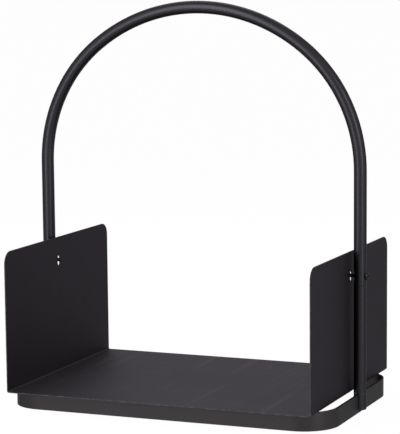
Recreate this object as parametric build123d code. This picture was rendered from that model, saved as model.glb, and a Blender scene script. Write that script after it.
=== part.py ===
from build123d import *
import math
import os

# Firewood rack: a flat strip base ring, two slotted posts, a tall arch handle and a U-shaped
# sheet tray for the logs. Millimetres, +Z up, origin on the floor under the middle of the ring.
# +X is the right-hand end as seen from the front, and the front faces -Y.

# Tube stock of the posts and of the arch handle
TUBE_DIAMETER = 16.0
TUBE_WALL = 1.2
RIM_CHAMFER = 0.4

# Strip stock of the base ring, stood on edge on the floor
STRIP_THICKNESS = 3.0
RING_HEIGHT = 23.0
RING_DEPTH = 262.0
RING_CORNER_RADIUS = 45.0

# Tray: one sheet, bent up at both ends into the side panels
SHEET = 1.2
BEND_INSIDE_RADIUS = 1.5
TRAY_WIDTH = 404.0
TRAY_DEPTH = 300.0
TRAY_HEIGHT = 178.0
PANEL_CORNER_RADIUS = 16.0

# Space between a side panel's outer face and the tube beside it
PANEL_GAP = 4.0

# Heights along the posts, counted down from the rim of the tray
SCREW_BELOW_RIM = 30.2
JOINT_BELOW_SCREW = 12.3
POST_FOOT_CLEARANCE = 2.7
POST_SLOT_CLEARANCE = 0.1

# Arch handle: straight legs, then a shoulder, a flatter crown and a shoulder
LEG_LENGTH = 142.0
ARCH_RISE = 200.0
SHOULDER_TURN = 52.0

# Spigots, fixed in the tops of the posts, that the legs of the arch drop over
SPIGOT_IN_POST = 30.0
SPIGOT_IN_LEG = 30.0
SPIGOT_CLEARANCE = 0.1
SPIGOT_LEAD = 1.0

# Screws through the legs and spigots, with their tips in the slots of the panels
SCREW_DIAMETER = 5.0
SCREW_HOLE_CLEARANCE = 0.2
SCREW_TIP_PROUD = 3.8
SCREW_TIP_CHAMFER = 0.8
HEAD_DIAMETER = 9.5
HEAD_HEIGHT = 2.75
HEAD_RIM = 0.5
SOCKET_ACROSS_FLATS = 3.0
SOCKET_DEPTH = 1.5
SLOT_WIDTH = 6.0
SLOT_LENGTH = 13.0
SLOT_BELOW_SCREW = 1.0

# Weld beads between the posts and the ring, and on the butt joint of the strip
BEAD_RADIUS = 2.5
BEAD_END_MARGIN = 3.0
BUTT_BEAD_RADIUS = 1.5

# Sizes that follow from the ones above
tube_radius = TUBE_DIAMETER / 2
bore_radius = tube_radius - TUBE_WALL
panel_face = TRAY_WIDTH / 2
axis_x = panel_face + PANEL_GAP + tube_radius
ring_width = 2 * axis_x + STRIP_THICKNESS
rim_z = RING_HEIGHT + TRAY_HEIGHT
screw_z = rim_z - SCREW_BELOW_RIM
joint_z = screw_z - JOINT_BELOW_SCREW
spring_z = joint_z + LEG_LENGTH
SIDES = {"left": -1, "right": 1}


def shoulder_and_crown():
    """Radii of the tangent arcs that reach the rise over half the span of the legs."""
    turn = math.radians(SHOULDER_TURN)
    flat = (1 - math.sin(turn)) / math.cos(turn)
    fall = 1 - math.cos(turn)
    shoulder = (ARCH_RISE - flat * axis_x) / (math.sin(turn) - flat * fall)
    crown = (axis_x - fall * shoulder) / math.cos(turn)
    return shoulder, crown


def arch_centreline():
    """Leg, shoulder, crown, shoulder and leg, in the plane of the posts."""
    shoulder, crown = shoulder_and_crown()
    turn = math.radians(SHOULDER_TURN)
    half_turn = turn / 2
    shoulder_x = axis_x - shoulder
    mid = (shoulder_x + shoulder * math.cos(half_turn), spring_z + shoulder * math.sin(half_turn))
    end = (shoulder_x + shoulder * math.cos(turn), spring_z + shoulder * math.sin(turn))
    top = (0, spring_z + ARCH_RISE)
    pieces = [
        Line((axis_x, 0, joint_z), (axis_x, 0, spring_z)),
        ThreePointArc((axis_x, 0, spring_z), (mid[0], 0, mid[1]), (end[0], 0, end[1])),
        ThreePointArc((end[0], 0, end[1]), (top[0], 0, top[1]), (-end[0], 0, end[1])),
        ThreePointArc((-end[0], 0, end[1]), (-mid[0], 0, mid[1]), (-axis_x, 0, spring_z)),
        Line((-axis_x, 0, spring_z), (-axis_x, 0, joint_z)),
    ]
    return Wire([piece.edge() for piece in pieces])


def upright(radius, low, high, x=0.0, y=0.0):
    """A vertical round bar between two heights."""
    return Pos(x, y, low) * extrude(Circle(radius), amount=high - low)


def cross_bar(radius, x_from, x_to, z):
    """A round bar along X between two places, at a height over the middle of the ring."""
    plane = Plane(origin=(x_from, 0, z), x_dir=(0, 1, 0), z_dir=(1, 0, 0))
    return extrude(plane * Circle(radius), amount=x_to - x_from)


def strip_loop(grow):
    """The base ring's footprint, with its outer wall moved out by an amount."""
    return RectangleRounded(ring_width + 2 * grow, RING_DEPTH + 2 * grow, RING_CORNER_RADIUS + grow)


def base_ring():
    return extrude(strip_loop(0) - strip_loop(-STRIP_THICKNESS), amount=RING_HEIGHT)


def post(side):
    """A tube that straddles the strip: its slot seats on the strip's top edge."""
    x = side * axis_x
    tube = upright(tube_radius, POST_FOOT_CLEARANCE, joint_z, x)
    tube = chamfer(tube.edges().filter_by(GeomType.CIRCLE), RIM_CHAMFER)
    tube -= upright(bore_radius, POST_FOOT_CLEARANCE, joint_z, x)
    slot = Box(STRIP_THICKNESS + 2 * POST_SLOT_CLEARANCE, 2 * TUBE_DIAMETER, 2 * RING_HEIGHT)
    return tube - Pos(x, 0, 0) * slot


def spigot(side):
    """A turned plug: tight in the post, a sliding fit in the leg, tapped across for the screw."""
    x = side * axis_x
    low = upright(bore_radius, joint_z - SPIGOT_IN_POST, joint_z, x)
    high = upright(bore_radius - SPIGOT_CLEARANCE, joint_z, joint_z + SPIGOT_IN_LEG, x)
    plug = low + high
    ends = plug.edges().filter_by(GeomType.CIRCLE).sort_by(Axis.Z)
    plug = chamfer([ends[0], ends[-1]], SPIGOT_LEAD)
    return plug - cross_bar(SCREW_DIAMETER / 2, x - TUBE_DIAMETER, x + TUBE_DIAMETER, screw_z)


def arch_handle():
    path = arch_centreline()
    start = Plane(origin=(axis_x, 0, joint_z), z_dir=(0, 0, 1))
    tube = sweep(start * Circle(tube_radius), path=path)
    rims = tube.edges().filter_by(GeomType.CIRCLE)
    rims = rims.filter_by(lambda rim: rim.center().Z < joint_z + RIM_CHAMFER)
    tube = chamfer(rims, RIM_CHAMFER)
    tube -= sweep(start * Circle(bore_radius), path=path)
    hole_radius = SCREW_DIAMETER / 2 + SCREW_HOLE_CLEARANCE
    for side in SIDES.values():
        x = side * axis_x
        tube -= cross_bar(hole_radius, x - TUBE_DIAMETER, x + TUBE_DIAMETER, screw_z)
    return tube


def bent_sheet():
    """The U-shaped section of the tray, run through its whole depth."""
    inner_width = TRAY_WIDTH - 2 * SHEET
    outer_radius = BEND_INSIDE_RADIUS + SHEET
    outer = Pos(0, 0, RING_HEIGHT + TRAY_HEIGHT / 2) * Box(TRAY_WIDTH, TRAY_DEPTH, TRAY_HEIGHT)
    outer = fillet(outer.edges().filter_by(Axis.Y).group_by(Axis.Z)[0], outer_radius)
    inner = Pos(0, 0, RING_HEIGHT + SHEET + TRAY_HEIGHT / 2) * Box(inner_width, 2 * TRAY_DEPTH, TRAY_HEIGHT)
    inner = fillet(inner.edges().filter_by(Axis.Y).group_by(Axis.Z)[0], BEND_INSIDE_RADIUS)
    return outer - inner


def tray():
    """The bent sheet with rounded panel corners and a slot in each panel for the screw's tip."""
    side_view = Plane(origin=(0, 0, 0), x_dir=(0, 1, 0), z_dir=(1, 0, 0))
    blank = Pos(0, 0, RING_HEIGHT + TRAY_HEIGHT / 2) * Box(2 * TRAY_WIDTH, TRAY_DEPTH, TRAY_HEIGHT)
    blank = fillet(blank.edges().filter_by(Axis.X).group_by(Axis.Z)[-1], PANEL_CORNER_RADIUS)
    slot = side_view * Pos(0, screw_z - SLOT_BELOW_SCREW) * SlotOverall(SLOT_LENGTH, SLOT_WIDTH, rotation=90)
    return (bent_sheet() & blank) - extrude(slot, amount=TRAY_WIDTH, both=True)


def screw(side):
    """A domed socket screw along X, its head outside and its tip through the panel's slot."""
    seat = axis_x + tube_radius
    tip = panel_face - SHEET - SCREW_TIP_PROUD
    shank = cross_bar(SCREW_DIAMETER / 2, tip, seat, screw_z)
    shank = chamfer(shank.edges().filter_by(GeomType.CIRCLE).sort_by(Axis.X)[0], SCREW_TIP_CHAMFER)
    radius = HEAD_DIAMETER / 2
    crown = SOCKET_ACROSS_FLATS / 2 + HEAD_RIM
    outline = Polyline((0, HEAD_HEIGHT), (0, 0), (radius, 0), (radius, HEAD_RIM))
    dome = RadiusArc((radius, HEAD_RIM), (crown, HEAD_HEIGHT), -radius)
    section = make_face(outline + dome + Line((crown, HEAD_HEIGHT), (0, HEAD_HEIGHT)))
    head = revolve(Plane.XZ * section, Axis.Z)
    corner_radius = SOCKET_ACROSS_FLATS / math.sqrt(3)
    socket = extrude(RegularPolygon(corner_radius, 6), amount=HEAD_HEIGHT)
    socket = Pos(0, 0, HEAD_HEIGHT - SOCKET_DEPTH) * socket
    head = Pos(seat, 0, screw_z) * Rot(0, 90, 0) * (head - socket)
    whole = shank + head
    return whole if side > 0 else mirror(whole, Plane.YZ)


def weld_beads():
    """Fillets beside each post on the inside of the strip, and one on the strip's butt joint."""
    low = BEAD_END_MARGIN + POST_FOOT_CLEARANCE
    high = RING_HEIGHT - BEAD_END_MARGIN
    corner_x = axis_x - STRIP_THICKNESS / 2
    corner_y = math.sqrt(tube_radius**2 - (STRIP_THICKNESS / 2) ** 2)
    cutter = Box(2 * BEAD_RADIUS, 2 * TUBE_DIAMETER, rim_z)
    beads = []
    for side in SIDES.values():
        for way in (-1, 1):
            bead = upright(BEAD_RADIUS, low, high, side * corner_x, way * corner_y)
            bead -= upright(tube_radius, 0, RING_HEIGHT, side * axis_x)
            outside = Pos(side * (corner_x + BEAD_RADIUS), 0, 0) * cutter
            beads += list((bead - outside).solids())
    back = RING_DEPTH / 2 - STRIP_THICKNESS
    butt = upright(BUTT_BEAD_RADIUS, low, high, 0, back)
    butt -= Pos(0, back + BUTT_BEAD_RADIUS, 0) * Box(4 * BUTT_BEAD_RADIUS, 2 * BUTT_BEAD_RADIUS, rim_z)
    return Compound(beads + list(butt.solids()))


def build():
    """Every piece of the rack under its node's name."""
    nodes = {
        "base_ring": base_ring(),
        "tray": tray(),
        "arch_handle": arch_handle(),
        "weld_beads": weld_beads(),
    }
    for name, side in SIDES.items():
        nodes[f"{name}_post"] = post(side)
        nodes[f"{name}_spigot"] = spigot(side)
        nodes[f"{name}_screw"] = screw(side)
    return nodes


os.makedirs("parts", exist_ok=True)
for node, shape in build().items():
    export_step(shape, f"parts/{node}.step")

shoulder_radius, crown_radius = shoulder_and_crown()
arch_length = arch_centreline().length
print(f"shoulder radius {shoulder_radius:.1f}, crown radius {crown_radius:.1f}")
print(f"arch tube {arch_length:.1f} long")
print(f"joint at {joint_z:.1f}, screws at {screw_z:.1f}, top at {spring_z + ARCH_RISE + tube_radius:.1f}")
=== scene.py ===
import math

import bmesh
import bpy
from bpy.props import FloatProperty, FloatVectorProperty, PointerProperty
from mathutils import Matrix, Vector


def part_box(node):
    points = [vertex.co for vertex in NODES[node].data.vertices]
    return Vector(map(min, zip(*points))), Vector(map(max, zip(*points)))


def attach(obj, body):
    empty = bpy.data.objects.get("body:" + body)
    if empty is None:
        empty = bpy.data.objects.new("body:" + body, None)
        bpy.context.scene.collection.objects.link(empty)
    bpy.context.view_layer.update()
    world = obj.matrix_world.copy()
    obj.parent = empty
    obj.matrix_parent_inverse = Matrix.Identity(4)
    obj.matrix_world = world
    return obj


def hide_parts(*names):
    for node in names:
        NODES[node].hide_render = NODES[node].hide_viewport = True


bl_info = {
    "name": "Firewood rack",
    "version": (1, 0, 0),
    "blender": (4, 5, 0),
    "location": "3D View > Sidebar > Rack",
    "description": "Finishes a firewood rack's steel parts and sets up its studio",
    "category": "Object",
}

# The frame: metres, +Z up, front towards -Y, right-hand end towards +X
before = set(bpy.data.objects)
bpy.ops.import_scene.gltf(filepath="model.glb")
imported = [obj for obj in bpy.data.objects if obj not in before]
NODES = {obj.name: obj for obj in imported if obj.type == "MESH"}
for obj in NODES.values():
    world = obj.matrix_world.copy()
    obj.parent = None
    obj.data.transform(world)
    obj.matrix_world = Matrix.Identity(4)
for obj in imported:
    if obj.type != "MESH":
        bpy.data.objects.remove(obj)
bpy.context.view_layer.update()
BODY = "root"
SIDES = {"left": -1.0, "right": 1.0}

# Places that the finish and the detail follow, read from the frame
TRAY_LOW, TRAY_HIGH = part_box("tray")
RING_LOW, RING_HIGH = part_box("base_ring")
POST_LOW, POST_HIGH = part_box("right_post")
SCREW_LOW, SCREW_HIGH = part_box("right_screw")
BEADS_LOW, BEADS_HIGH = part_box("weld_beads")
TUBE_RADIUS = (POST_HIGH[0] - POST_LOW[0]) / 2
AXIS_X = (POST_HIGH[0] + POST_LOW[0]) / 2
STRIP = 2 * (RING_HIGH[0] - AXIS_X)
SCREW_Z = (SCREW_LOW[2] + SCREW_HIGH[2]) / 2
HEAD_RADIUS = (SCREW_HIGH[2] - SCREW_LOW[2]) / 2
HEAD_SEAT = AXIS_X + TUBE_RADIUS
HEAD_HEIGHT = SCREW_HIGH[0] - HEAD_SEAT
MM = 0.001

# The bead on the strip's butt joint
BUTT_BEAD_RADIUS = 1.5 * MM

# The M5 button-head screw: shank, lead of the tip, and hexagon socket
SHANK_RADIUS = 2.5 * MM
TIP_LEAD = 0.8 * MM
SOCKET_RADIUS = 1.5 * MM
SOCKET_DEPTH = 1.5 * MM
CROWN_RADIUS = 2.1 * MM
HEAD_RIM = 0.5 * MM


class RackFinish(bpy.types.PropertyGroup):
    """Colours and gloss of the rack's surfaces."""

    coat_colour: FloatVectorProperty(
        name="Coat colour",
        description="Base colour of the black powder coat on the tubes",
        subtype="COLOR",
        size=4,
        min=0.0,
        max=1.0,
        default=(0.0272, 0.0256, 0.0302, 1.0),
    )
    # Painted light: the strip is the same coat as the tubes, painted paler to stand in for the light on the
    # ring's face; its greyer tone is not from handling
    strip_painted_light_colour: FloatVectorProperty(
        name="Strip colour",
        description="Base colour of the coat on the base ring, a little greyer from handling",
        subtype="COLOR",
        size=4,
        min=0.0,
        max=1.0,
        default=(0.0395, 0.0365, 0.0388, 1.0),
    )
    tray_colour: FloatVectorProperty(
        name="Tray colour",
        description="Base colour of the matt coat on the sheet tray",
        subtype="COLOR",
        size=4,
        min=0.0,
        max=1.0,
        default=(0.0332, 0.0297, 0.0352, 1.0),
    )
    rubbed_colour: FloatVectorProperty(
        name="Rubbed colour",
        description="Colour of the coat where edges and logs have rubbed it",
        subtype="COLOR",
        size=4,
        min=0.0,
        max=1.0,
        default=(0.075, 0.073, 0.076, 1.0),
    )
    steel_colour: FloatVectorProperty(
        name="Steel colour",
        description="Base colour of the turned steel spigots",
        subtype="COLOR",
        size=4,
        min=0.0,
        max=1.0,
        default=(0.50, 0.49, 0.48, 1.0),
    )
    oxide_colour: FloatVectorProperty(
        name="Oxide colour",
        description="Base colour of the blackened screws",
        subtype="COLOR",
        size=4,
        min=0.0,
        max=1.0,
        default=(0.018, 0.018, 0.020, 1.0),
    )
    frame_gloss: FloatProperty(
        name="Frame roughness",
        description="Mean roughness of the ring, posts and arch",
        min=0.05,
        max=1.0,
        default=0.40,
    )
    tray_gloss: FloatProperty(
        name="Tray roughness",
        description="Mean roughness of the tray",
        min=0.05,
        max=1.0,
        default=0.60,
    )
    edge_sheen: FloatProperty(
        name="Edge sheen",
        description="Strength of the coat's reflection at grazing angles",
        min=0.0,
        max=1.0,
        default=0.50,
    )
    grain: FloatProperty(
        name="Coat grain",
        description="Width of the powder coat's fine texture",
        subtype="DISTANCE",
        unit="LENGTH",
        min=0.0002,
        max=0.01,
        default=0.0009,
    )


class RackDetail(bpy.types.PropertyGroup):
    """Small shapes that dress the rack's parts."""

    edge_radius: FloatProperty(
        name="Edge radius",
        description="Rounding of the sheet's and strip's edges under the coat",
        subtype="DISTANCE",
        unit="LENGTH",
        min=0.00005,
        max=0.001,
        default=0.00025,
    )
    thread_pitch: FloatProperty(
        name="Thread pitch",
        description="Rise of the screw thread in one turn",
        subtype="DISTANCE",
        unit="LENGTH",
        min=0.0005,
        max=0.002,
        default=0.0008,
    )
    thread_depth: FloatProperty(
        name="Thread depth",
        description="Depth of the screw thread",
        subtype="DISTANCE",
        unit="LENGTH",
        min=0.0001,
        max=0.001,
        default=0.0004,
    )
    bead_ripple: FloatProperty(
        name="Bead ripple",
        description="Distance between the ripples of a weld bead",
        subtype="DISTANCE",
        unit="LENGTH",
        min=0.0005,
        max=0.005,
        default=0.0016,
    )


class RackStudio(bpy.types.PropertyGroup):
    """Light and camera of the studio."""

    ambient: FloatProperty(
        name="Ambient",
        description="Level of the even light from all round",
        min=0.0,
        max=2.0,
        default=0.36,
    )
    key_power: FloatProperty(
        name="Key power",
        description="Power of the tall softbox in front",
        subtype="POWER",
        unit="POWER",
        min=0.0,
        max=500.0,
        default=14.0,
    )
    side_power: FloatProperty(
        name="Side power",
        description="Power of the narrow softbox on the right",
        subtype="POWER",
        unit="POWER",
        min=0.0,
        max=500.0,
        default=9.0,
    )
    top_power: FloatProperty(
        name="Top power",
        description="Power of the wide softbox above and behind",
        subtype="POWER",
        unit="POWER",
        min=0.0,
        max=500.0,
        default=24.0,
    )
    focal_length: FloatProperty(
        name="Focal length",
        description="Focal length of the camera in millimetres",
        min=20.0,
        max=400.0,
        default=170.704,
    )


class Value:
    """A node's output on which a Python expression adds Math nodes."""

    def __init__(self, graph, socket):
        self.graph = graph
        self.socket = socket

    def math(self, operation, first, second=0.0):
        return self.graph.node("ShaderNodeMath", {"operation": operation}, {0: first, 1: second})

    def __add__(self, other):
        return self.math("ADD", self, other)

    def __radd__(self, other):
        return self.math("ADD", other, self)

    def __sub__(self, other):
        return self.math("SUBTRACT", self, other)

    def __rsub__(self, other):
        return self.math("SUBTRACT", other, self)

    def __mul__(self, other):
        return self.math("MULTIPLY", self, other)

    def __rmul__(self, other):
        return self.math("MULTIPLY", other, self)

    def __gt__(self, other):
        return self.math("GREATER_THAN", self, other)

    def __lt__(self, other):
        return self.math("LESS_THAN", self, other)

    def __abs__(self):
        return self.math("ABSOLUTE", self)

    def at_most(self, other):
        return self.math("MINIMUM", self, other)

    def at_least(self, other):
        return self.math("MAXIMUM", self, other)


class Graph:
    """The node tree of one material or of the world."""

    def __init__(self, tree):
        self.tree = tree
        tree.nodes.clear()

    def feed(self, socket, value):
        if isinstance(value, Value):
            self.tree.links.new(value.socket, socket)
        else:
            socket.default_value = value

    def node(self, kind, settings=None, inputs=None, output=0):
        made = self.tree.nodes.new(kind)
        for name, value in (settings or {}).items():
            setattr(made, name, value)
        for key, value in (inputs or {}).items():
            self.feed(made.inputs[key], value)
        return Value(self, made.outputs[output]) if made.outputs else None

    def place(self):
        """The surface point in the rack's own frame."""
        return self.node("ShaderNodeTexCoord", output="Object")

    def axes(self, vector):
        """X, Y and Z of a vector."""
        first = self.node("ShaderNodeSeparateXYZ", inputs={0: vector})
        outputs = first.socket.node.outputs
        return [Value(self, outputs[i]) for i in range(3)]

    def stretch(self, vector, scale):
        return self.node("ShaderNodeMapping", inputs={"Vector": vector, "Scale": scale})

    def noise(self, vector, scale, detail=2.0, roughness=0.5):
        values = {"Vector": vector, "Scale": scale, "Detail": detail, "Roughness": roughness}
        return self.node("ShaderNodeTexNoise", inputs=values)

    def ramp(self, value, low, high):
        """0 below low, 1 above high, smooth between."""
        settings = {"interpolation_type": "SMOOTHSTEP"}
        return self.node("ShaderNodeMapRange", settings, {"Value": value, "From Min": low, "From Max": high})

    def mix(self, factor, first, second):
        """A colour between two colours."""
        settings = {"data_type": "RGBA"}
        return self.node("ShaderNodeMix", settings, {0: factor, 6: first, 7: second}, output=2)

    def bump(self, height, strength, distance, normal=None):
        values = {"Height": height, "Strength": strength, "Distance": distance}
        if normal is not None:
            values["Normal"] = normal
        return self.node("ShaderNodeBump", inputs=values)


def new_material(name):
    """An empty material and its graph."""
    material = bpy.data.materials.new(name)
    material.use_nodes = True
    return material, Graph(material.node_tree)


def surface(graph, values):
    """One Principled shader joined to the output."""
    shader = graph.node("ShaderNodeBsdfPrincipled", inputs=values)
    graph.node("ShaderNodeOutputMaterial", inputs={"Surface": shader})


def powder_coat(name, base, gloss, rubbed):
    """Black satin powder coat: fine grain, orange peel, cloudy gloss and rubbed places."""
    finish = bpy.context.scene.rack_finish
    material, graph = new_material(name)
    place = graph.place()
    grain = graph.noise(place, 1.0 / finish.grain, detail=3.0, roughness=0.6)
    peel = graph.noise(place, 0.22 / finish.grain, detail=1.0)
    cloud = graph.noise(place, 9.0, detail=3.0)
    wipe = graph.noise(graph.stretch(place, (6.0, 38.0, 38.0)), 1.0, detail=4.0, roughness=0.7)
    worn = rubbed(graph, place)
    shade = (grain - 0.5) * 0.30 + (cloud - 0.5) * 0.30 + 0.25
    dark = tuple(c * 0.82 for c in base[:3]) + (1.0,)
    pale = tuple(c * 1.50 for c in base[:3]) + (1.0,)
    sheen = finish.edge_sheen
    colour = graph.mix(shade, dark, pale)
    colour = graph.mix(worn, colour, finish.rubbed_colour)
    roughness = gloss + (cloud - 0.5) * 0.10 + (wipe - 0.5) * 0.08 + (grain - 0.5) * 0.10 - worn * 0.06
    normal = graph.bump(grain, 0.04, 0.00008)
    normal = graph.bump(peel, 0.08, 0.00012, normal)
    values = {
        "Base Color": colour,
        "Roughness": roughness,
        "Normal": normal,
        "Metallic": 1.0,
        "Specular Tint": (sheen, sheen, sheen, 1.0),
    }
    surface(graph, values)
    return material


def never_rubbed(graph, place):
    """Fine pale flecks only, spread evenly."""
    speck = graph.noise(place, 420.0, detail=1.0)
    return graph.ramp(speck, 0.72, 0.80) * 0.35


def rubbed_tray(graph, place):
    """The sheet's cut edges, and faint streaks where logs slide in and out over the floor."""
    x, y, z = graph.axes(place)
    lip = abs(y) > TRAY_HIGH[1] - 0.35 * MM
    rim = z > TRAY_HIGH[2] - 0.35 * MM
    chips = graph.ramp(graph.noise(place, 160.0, detail=3.0), 0.46, 0.62)
    edges = lip.at_least(rim) * (0.25 + 0.6 * chips)
    streaks = graph.noise(graph.stretch(place, (210.0, 3.1, 60.0)), 1.0, detail=4.0, roughness=0.6)
    handled = graph.ramp(graph.noise(place, 11.0, detail=2.0), 0.36, 0.64)
    near_floor = 1.0 - graph.ramp(z, TRAY_LOW[2] + 2.0 * MM, TRAY_LOW[2] + 24.0 * MM)
    inside = TRAY_HIGH[0] - 1.3 * MM > abs(x)
    on_floor = z > TRAY_LOW[2] + 1.0 * MM
    scuffs = graph.ramp(streaks, 0.50, 0.78) * handled * near_floor * inside * on_floor * 0.30
    return edges.at_least(scuffs)


def rubbed_frame(graph, place):
    """The strip's upper and lower edges and the rims of the tubes at the seams."""
    x, y, z = graph.axes(place)
    foot = RING_LOW[2] + 0.5 * MM > z
    top = (z > RING_HIGH[2] - 0.4 * MM) * (RING_HIGH[2] + 0.4 * MM > z)
    seam = 0.7 * MM > abs(z - POST_HIGH[2])
    chips = graph.ramp(graph.noise(place, 190.0, detail=3.0), 0.44, 0.64)
    return foot.at_least(top).at_least(seam) * (0.2 + 0.5 * chips)


def turned_steel():
    """Bare turned steel with fine rings round the axis."""
    finish = bpy.context.scene.rack_finish
    material, graph = new_material("turned_steel")
    rings = graph.noise(graph.stretch(graph.place(), (40.0, 40.0, 5200.0)), 1.0, detail=2.0)
    tarnish = graph.noise(graph.place(), 120.0, detail=3.0)
    dull = tuple(c * 0.7 for c in finish.steel_colour[:3]) + (1.0,)
    values = {
        "Base Color": graph.mix(graph.ramp(tarnish, 0.35, 0.7), finish.steel_colour, dull),
        "Roughness": 0.26 + rings * 0.16,
        "Metallic": 1.0,
        "Normal": graph.bump(rings, 0.25, 0.00005),
    }
    surface(graph, values)
    return material


def black_oxide():
    """Blackened screw steel, a little oily, paler on its wear marks."""
    finish = bpy.context.scene.rack_finish
    material, graph = new_material("black_oxide")
    place = graph.place()
    mottle = graph.noise(place, 900.0, detail=3.0)
    marks = graph.ramp(graph.noise(place, 2600.0, detail=2.0), 0.60, 0.78)
    pale = tuple(c * 2.6 for c in finish.oxide_colour[:3]) + (1.0,)
    values = {
        "Base Color": graph.mix(mottle * 0.4 + marks * 0.5, finish.oxide_colour, pale),
        "Roughness": 0.30 + mottle * 0.14,
        "Metallic": 1.0,
        "Normal": graph.bump(mottle, 0.12, 0.00005),
        "Specular Tint": (finish.edge_sheen, finish.edge_sheen, finish.edge_sheen, 1.0),
    }
    surface(graph, values)
    return material


def dress(node, material, edge_radius=0.0):
    """Gives a CAD part its finish and, for cut stock, a fine rounding of its edges."""
    part = NODES[node]
    part.data.materials.clear()
    part.data.materials.append(material)
    if edge_radius:
        rounding = part.modifiers.new("edge_rounding", "BEVEL")
        rounding.width = edge_radius
        rounding.segments = 2
        rounding.limit_method = "ANGLE"
        rounding.angle_limit = math.radians(50.0)
        rounding.harden_normals = True
        rounding.use_clamp_overlap = True


def add_piece(name, mesh, material, node):
    """A new piece that stands for a CAD part and rides on the rack's one body."""
    mesh.materials.append(material)
    piece = bpy.data.objects.new(name, mesh)
    bpy.context.scene.collection.objects.link(piece)
    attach(piece, BODY)
    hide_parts(node)
    return piece


def polar_mesh(name, rows, segments, place):
    """A closed skin of rings: rows are functions of the angle that give radius and height."""
    shape = bmesh.new()
    rings = []
    for row in rows:
        ring = []
        for i in range(segments):
            angle = 2 * math.pi * i / segments
            radius, height = row(angle)
            ring.append(shape.verts.new((radius * math.cos(angle), radius * math.sin(angle), height)))
        rings.append(ring)
    for low, high in zip(rings, rings[1:]):
        for i in range(segments):
            j = (i + 1) % segments
            shape.faces.new((low[i], low[j], high[j], high[i]))
    shape.faces.new(list(reversed(rings[0])))
    shape.faces.new(rings[-1])
    bmesh.ops.recalc_face_normals(shape, faces=shape.faces)
    for face in shape.faces:
        face.smooth = True
    shape.transform(place)
    mesh = bpy.data.meshes.new(name)
    shape.to_mesh(mesh)
    shape.free()
    mesh.set_sharp_from_angle(angle=math.radians(38.0))
    return mesh


def screw_rows(length, pitch, depth):
    """Rings of a domed socket screw along +Z, from its tip up to the floor of its socket."""
    soft = 0.15 * MM
    step = pitch / 8
    first_turn = TIP_LEAD * 0.3
    count = int((length - TIP_LEAD) / step)
    top = length + HEAD_HEIGHT
    dome_steps = 12

    def ring(radius, height):
        return lambda angle: (radius, height)

    def thread(height):
        def row(angle):
            phase = (height / pitch - angle / (2 * math.pi)) % 1.0
            flank = min(1.0, abs(2 * phase - 1.0) * 1.35)
            fade = min(1.0, (height - first_turn) / TIP_LEAD)
            return SHANK_RADIUS - depth * flank - (1.0 - fade) * 2 * soft, height
        return row

    def hexagon(height, grow=0.0):
        def row(angle):
            turn = (angle % (math.pi / 3)) - math.pi / 6
            return (SOCKET_RADIUS + grow) / math.cos(turn), height
        return row

    rows = [ring(SHANK_RADIUS - TIP_LEAD, 0.0), ring(SHANK_RADIUS - 4 * soft, first_turn)]
    rows += [thread(first_turn + i * step) for i in range(1, count)]
    rows += [ring(SHANK_RADIUS - depth / 2, length - 3 * soft), ring(SHANK_RADIUS, length - soft)]
    rows += [ring(SHANK_RADIUS + soft, length), ring(HEAD_RADIUS - soft, length)]
    rows += [ring(HEAD_RADIUS, length + soft), ring(HEAD_RADIUS, length + HEAD_RIM)]
    for i in range(1, dome_steps + 1):
        turn = math.radians(90.0) * i / dome_steps
        radius = CROWN_RADIUS + (HEAD_RADIUS - CROWN_RADIUS) * math.cos(turn)
        rows.append(ring(radius, length + HEAD_RIM + (HEAD_HEIGHT - HEAD_RIM) * math.sin(turn)))
    rows += [hexagon(top, soft), hexagon(top - soft), hexagon(top - SOCKET_DEPTH)]
    rows.append(ring(2 * soft, top - SOCKET_DEPTH - 3 * soft))
    return rows


def bead_mesh(name, paths, ripple):
    """Ripply weld beads: each path is foot, top, radius and the directions of its round side."""
    shape = bmesh.new()
    around = 14
    for foot, top, radius, start, end in paths:
        rows = max(8, int((top - foot).length / ripple * 6))
        rings = []
        for k in range(rows + 1):
            t = k / rows
            along = t * (top - foot).length
            cap = math.sqrt(max(0.0, 1.0 - max(0.0, abs(2 * t - 1.0) - 0.86) ** 2 / 0.14**2))
            wave = 1.0 + 0.09 * abs(math.sin(math.pi * along / ripple)) + 0.03 * math.sin(5.1 * along / ripple)
            ring = []
            for i in range(around + 1):
                angle = start + (end - start) * i / around
                dip = 0.10 * radius * math.sin(math.pi * i / around)
                r = max(0.12, cap) * radius * wave * 0.92
                centre = foot.lerp(top, t) + Vector((0.0, 0.0, -dip))
                ring.append(shape.verts.new(centre + Vector((r * math.cos(angle), r * math.sin(angle), 0.0))))
            ring.append(shape.verts.new(foot.lerp(top, t)))
            rings.append(ring)
        size = around + 2
        for low, high in zip(rings, rings[1:]):
            for i in range(size):
                j = (i + 1) % size
                shape.faces.new((low[i], low[j], high[j], high[i]))
        shape.faces.new(list(reversed(rings[0])))
        shape.faces.new(rings[-1])
    bmesh.ops.recalc_face_normals(shape, faces=shape.faces)
    for face in shape.faces:
        face.smooth = True
    mesh = bpy.data.meshes.new(name)
    shape.to_mesh(mesh)
    shape.free()
    mesh.set_sharp_from_angle(angle=math.radians(60.0))
    return mesh


def bead_paths():
    """Two beads at each post, in the corner of strip and tube, and one on the strip's butt joint."""
    low, high = BEADS_LOW[2], BEADS_HIGH[2]
    corner_x = AXIS_X - STRIP / 2
    corner_y = math.sqrt(TUBE_RADIUS**2 - (STRIP / 2) ** 2)
    reach = BEADS_LOW[1] + corner_y
    paths = []
    for side in SIDES.values():
        for way in (-1.0, 1.0):
            foot = Vector((side * corner_x, way * corner_y, low))
            top = Vector((side * corner_x, way * corner_y, high))
            away = math.atan2(way, 0.0)
            inward = math.atan2(0.0, -side)
            swing = (inward - away + math.pi) % (2 * math.pi) - math.pi
            paths.append((foot, top, abs(reach), away, away + swing * 1.05))
    back = RING_HIGH[1] - STRIP
    foot, top = Vector((0.0, back, low)), Vector((0.0, back, high))
    paths.append((foot, top, BUTT_BEAD_RADIUS, math.pi, 2 * math.pi))
    return paths


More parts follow.
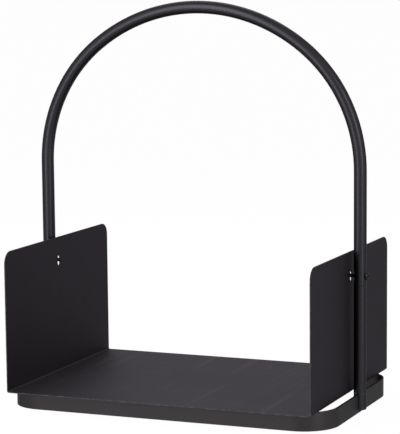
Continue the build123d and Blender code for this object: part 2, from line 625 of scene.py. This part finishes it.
class RACK_OT_frame_finish(bpy.types.Operator):
    """Coat the base ring, the posts and the arch handle"""

    bl_idname = "rack.frame_finish"
    bl_label = "Frame finish"

    def execute(self, context):
        finish = context.scene.rack_finish
        gloss = finish.frame_gloss
        edge = context.scene.rack_detail.edge_radius
        # The base ring gets a paler copy of the tube coat, painted light that stands in for the light on its
        # face
        painted_light_strip_coat = powder_coat("painted_light_strip_coat", finish.strip_painted_light_colour, gloss, rubbed_frame)
        tube_coat = powder_coat("tube_coat", finish.coat_colour, gloss, rubbed_frame)
        dress("base_ring", painted_light_strip_coat, edge)
        for node in ("left_post", "right_post", "arch_handle"):
            dress(node, tube_coat)
        return {"FINISHED"}


class RACK_OT_tray_finish(bpy.types.Operator):
    """Coat the bent sheet tray"""

    bl_idname = "rack.tray_finish"
    bl_label = "Tray finish"

    def execute(self, context):
        finish = context.scene.rack_finish
        coat = powder_coat("tray_coat", finish.tray_colour, finish.tray_gloss, rubbed_tray)
        dress("tray", coat, context.scene.rack_detail.edge_radius)
        return {"FINISHED"}


class RACK_OT_spigot_finish(bpy.types.Operator):
    """Finish the turned spigots inside the seams"""

    bl_idname = "rack.spigot_finish"
    bl_label = "Spigot finish"

    def execute(self, context):
        steel = turned_steel()
        for side in SIDES:
            dress(f"{side}_spigot", steel)
        return {"FINISHED"}


class RACK_OT_screws(bpy.types.Operator):
    """Make the domed socket screws with their threads"""

    bl_idname = "rack.screws"
    bl_label = "Screws"

    def execute(self, context):
        detail = context.scene.rack_detail
        oxide = black_oxide()
        length = HEAD_SEAT - SCREW_LOW[0]
        for side, way in SIDES.items():
            turn = Matrix.Rotation(way * math.pi / 2, 4, "Y")
            place = Matrix.Translation((way * SCREW_LOW[0], 0.0, SCREW_Z)) @ turn
            rows = screw_rows(length, detail.thread_pitch, detail.thread_depth)
            mesh = polar_mesh(f"{side}_screw_threaded", rows, 48, place)
            add_piece(f"{side}_screw_threaded", mesh, oxide, f"{side}_screw")
        return {"FINISHED"}


class RACK_OT_weld_beads(bpy.types.Operator):
    """Make the rippled weld beads on the inside of the ring"""

    bl_idname = "rack.weld_beads"
    bl_label = "Weld beads"

    def execute(self, context):
        finish = context.scene.rack_finish
        coat = powder_coat("weld_coat", finish.coat_colour, finish.frame_gloss + 0.05, never_rubbed)
        mesh = bead_mesh("rippled_weld_beads", bead_paths(), context.scene.rack_detail.bead_ripple)
        add_piece("rippled_weld_beads", mesh, coat, "weld_beads")
        return {"FINISHED"}


class RACK_OT_stage(bpy.types.Operator):
    """Set up the pale floor, the studio light and the camera"""

    bl_idname = "rack.stage"
    bl_label = "Stage"

    def execute(self, context):
        studio = context.scene.rack_studio
        add_floor()
        light_world(studio.ambient)
        add_softbox("key_softbox", -21.0, 21.0, 1.3, (0.36, 1.3), studio.key_power)
        add_softbox("side_softbox", 64.0, 16.0, 1.5, (0.23, 1.25), studio.side_power)
        add_softbox("top_softbox", -160.0, 52.0, 1.9, (1.4, 1.0), studio.top_power)
        add_camera(studio.focal_length)
        context.scene.view_settings.view_transform = "Standard"
        return {"FINISHED"}


def seen(graph):
    """1 where the camera sees a point straight, in gloss or through glass, and 0 for light."""
    straight = graph.node("ShaderNodeLightPath", output="Is Camera Ray")
    outputs = straight.socket.node.outputs
    mirrored = Value(graph, outputs["Is Glossy Ray"]) + Value(graph, outputs["Is Transmission Ray"])
    return (straight + mirrored).at_most(1.0)


def add_floor():
    """A pale floor that reads as white and keeps a soft shadow."""
    half = 60.0
    corners = [(-half, -half, 0.0), (half, -half, 0.0), (half, half, 0.0), (-half, half, 0.0)]
    mesh = bpy.data.meshes.new("studio_floor")
    mesh.from_pydata(corners, [], [(0, 1, 2, 3)])
    material, graph = new_material("studio_floor")
    matt = graph.node("ShaderNodeBsdfDiffuse", inputs={"Color": (0.86, 0.86, 0.86, 1.0)})
    glow = graph.node("ShaderNodeEmission", inputs={"Color": (1.0, 1.0, 1.0, 1.0), "Strength": 1.0})
    blend = graph.node("ShaderNodeMixShader", inputs={0: seen(graph) * 0.98, 1: matt, 2: glow})
    graph.node("ShaderNodeOutputMaterial", inputs={"Surface": blend})
    mesh.materials.append(material)
    floor = bpy.data.objects.new("studio_floor", mesh)
    bpy.context.scene.collection.objects.link(floor)


def light_world(ambient):
    """An even world that is white where it is seen and softer as light."""
    world = bpy.data.worlds.new("studio_world")
    world.use_nodes = True
    bpy.context.scene.world = world
    graph = Graph(world.node_tree)
    strength = ambient + seen(graph) * (1.0 - ambient)
    glow = graph.node("ShaderNodeBackground", inputs={"Color": (1.0, 1.0, 1.0, 1.0), "Strength": strength})
    graph.node("ShaderNodeOutputWorld", inputs={"Surface": glow})


def add_softbox(name, azimuth, elevation, distance, size, power):
    """A rectangular lamp aimed at the rack. Azimuth turns from the front towards the right."""
    lamp = bpy.data.lights.new(name, "AREA")
    lamp.shape = "RECTANGLE"
    lamp.size, lamp.size_y = size
    lamp.energy = power
    turn, lift = math.radians(azimuth), math.radians(elevation)
    way = Vector((math.sin(turn) * math.cos(lift), -math.cos(turn) * math.cos(lift), math.sin(lift)))
    aim = Vector((0.0, 0.0, TRAY_HIGH[2]))
    holder = bpy.data.objects.new(name, lamp)
    holder.location = aim + way * distance
    holder.rotation_euler = (-way).to_track_quat("-Z", "Y").to_euler()
    bpy.context.scene.collection.objects.link(holder)


def add_camera(focal_length):
    """The camera in front, to the right and a little above, looking gently down."""
    yaw, pitch, roll = (math.radians(a) for a in (22.5317, 8.1117, -0.5460))
    forward = Vector((-math.sin(yaw) * math.cos(pitch), math.cos(yaw) * math.cos(pitch), -math.sin(pitch)))
    right = Vector((math.cos(yaw), math.sin(yaw), 0.0))
    up = right.cross(forward)
    across = right * math.cos(roll) + up * math.sin(roll)
    upward = up * math.cos(roll) - right * math.sin(roll)
    turn = Matrix((across, upward, -forward)).transposed().to_4x4()
    lens = bpy.data.cameras.new("studio_camera")
    lens.sensor_width = 36.0
    lens.lens = focal_length
    lens.shift_x = -0.00427
    lens.shift_y = 0.05732
    lens.clip_end = 50.0
    camera = bpy.data.objects.new("studio_camera", lens)
    camera.matrix_world = Matrix.Translation((0.99595, -2.39435, 0.57299)) @ turn
    bpy.context.scene.collection.objects.link(camera)
    bpy.context.scene.camera = camera


class RACK_PT_sidebar(bpy.types.Panel):
    """Lists the steps that finish the rack and its sizes and colours"""

    bl_idname = "RACK_PT_sidebar"
    bl_label = "Firewood rack"
    bl_space_type = "VIEW_3D"
    bl_region_type = "UI"
    bl_category = "Rack"

    def draw(self, context):
        layout = self.layout
        for operator in STEPS:
            layout.operator(operator.bl_idname)
        for group in (context.scene.rack_finish, context.scene.rack_detail, context.scene.rack_studio):
            for name in group.__annotations__:
                layout.prop(group, name)


STEPS = (
    RACK_OT_stage,
    RACK_OT_frame_finish,
    RACK_OT_tray_finish,
    RACK_OT_spigot_finish,
    RACK_OT_screws,
    RACK_OT_weld_beads,
)
CLASSES = (RackFinish, RackDetail, RackStudio) + STEPS + (RACK_PT_sidebar,)


def register():
    for cls in CLASSES:
        bpy.utils.register_class(cls)
    bpy.types.Scene.rack_finish = PointerProperty(type=RackFinish)
    bpy.types.Scene.rack_detail = PointerProperty(type=RackDetail)
    bpy.types.Scene.rack_studio = PointerProperty(type=RackStudio)


def unregister():
    del bpy.types.Scene.rack_studio
    del bpy.types.Scene.rack_detail
    del bpy.types.Scene.rack_finish
    for cls in reversed(CLASSES):
        bpy.utils.unregister_class(cls)


def main():
    register()
    for step in STEPS:
        group, name = step.bl_idname.split(".")
        getattr(getattr(bpy.ops, group), name)()


if __name__ == "__main__":
    main()
